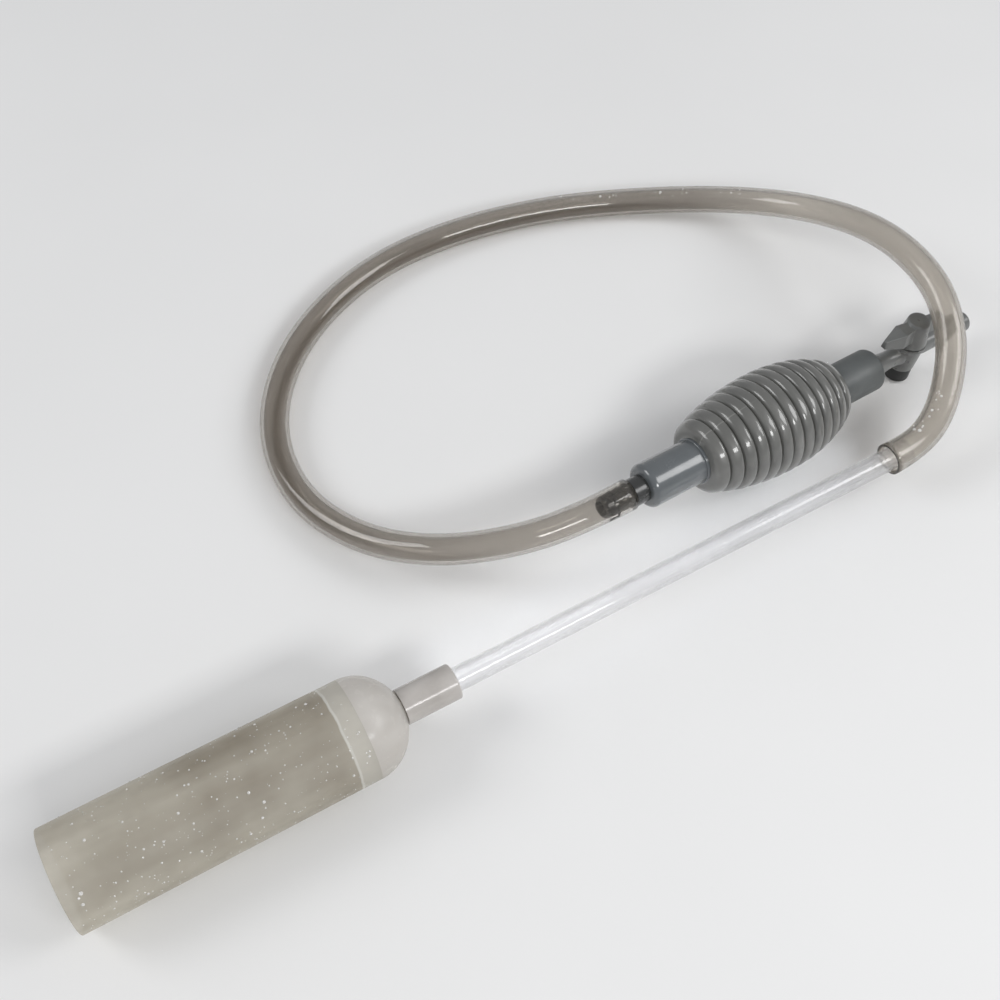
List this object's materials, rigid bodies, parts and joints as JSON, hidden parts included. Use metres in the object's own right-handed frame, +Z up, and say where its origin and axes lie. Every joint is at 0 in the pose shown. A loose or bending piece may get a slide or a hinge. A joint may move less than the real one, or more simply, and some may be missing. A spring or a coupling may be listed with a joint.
{
  "type": "gravel vacuum siphon",
  "caption": "Gravel vacuum siphon: frosted gravel tube and domed head on a clear rigid wand, soft looped hose, ribbed priming bulb and a plug valve with a lever at the outlet.",
  "frame": {"origin": "on the table under the middle of the wand and pump, hose left out", "axes": "+X along the wand from the gravel tube's mouth to the hose, +Z up from the table"},
  "size_m": [0.5576, 0.3068, 0.0693],
  "materials": {
    "gravel_tube": "frosted translucent",
    "head": "frosted translucent",
    "neck_sleeve": "satin",
    "clear_tube": "clear",
    "hose": "smoky translucent gloss",
    "grey_plastic": "satin gloss",
    "bulb": "semi-gloss",
    "valve_plastic": "satin gloss",
    "dark_plastic": "satin",
    "white_plastic": "satin",
    "seal": "matte"
  },
  "bodies": {
    "root": {"dome_cap": "head", "neck_sleeve": "neck_sleeve", "clear_tube": "clear_tube", "hose": "hose", "inlet_fitting": "grey_plastic", "front_collar": "grey_plastic", "front_collar_ring": "grey_plastic", "inlet_valve_seat": "white_plastic", "front_neck_insert": "white_plastic", "bellows_bulb": "bulb"},
    "gravel_end": {"gravel_tube": "gravel_tube"},
    "pump_rear": {"rear_neck_insert": "white_plastic", "rear_collar": "grey_plastic", "outlet_valve_seat": "white_plastic", "valve_body": "valve_plastic", "valve_bottom_cap": "dark_plastic"},
    "valve_stem": {"valve_plug": "dark_plastic", "valve_handle": "valve_plastic", "plug_ring_upper": "seal", "plug_ring_lower": "seal"},
    "inlet_check": {"inlet_valve_disc": "seal"},
    "outlet_check": {"outlet_valve_disc": "seal"}
  },
  "joints": [
    {"name": "gravel_tube_pull", "type": "slide", "parent": "root", "child": "gravel_end", "axis": [-1, 0, 0], "range_m": [0, 0.03]},
    {"name": "bulb_squeeze", "type": "slide", "parent": "root", "child": "pump_rear", "axis": [-0.9933, -0.0756, 0.0872], "range_m": [0, 0.025], "stiffness_N_per_m": 400, "deforming": ["bellows_bulb"]},
    {"name": "valve_turn", "type": "hinge", "parent": "pump_rear", "child": "valve_stem", "pos_m": [0.23295, 0.0307, 0.01981], "axis": [0.0869, 0.0066, 0.9962], "range_deg": [0, 90]},
    {"name": "inlet_check_lift", "type": "slide", "parent": "root", "child": "inlet_check", "axis": [0.9933, 0.0756, -0.0872], "range_m": [0, 0.0027], "stiffness_N_per_m": 5},
    {"name": "outlet_check_lift", "type": "slide", "parent": "pump_rear", "child": "outlet_check", "axis": [0.9933, 0.0756, -0.0872], "range_m": [0, 0.0027], "stiffness_N_per_m": 5}
  ]
}
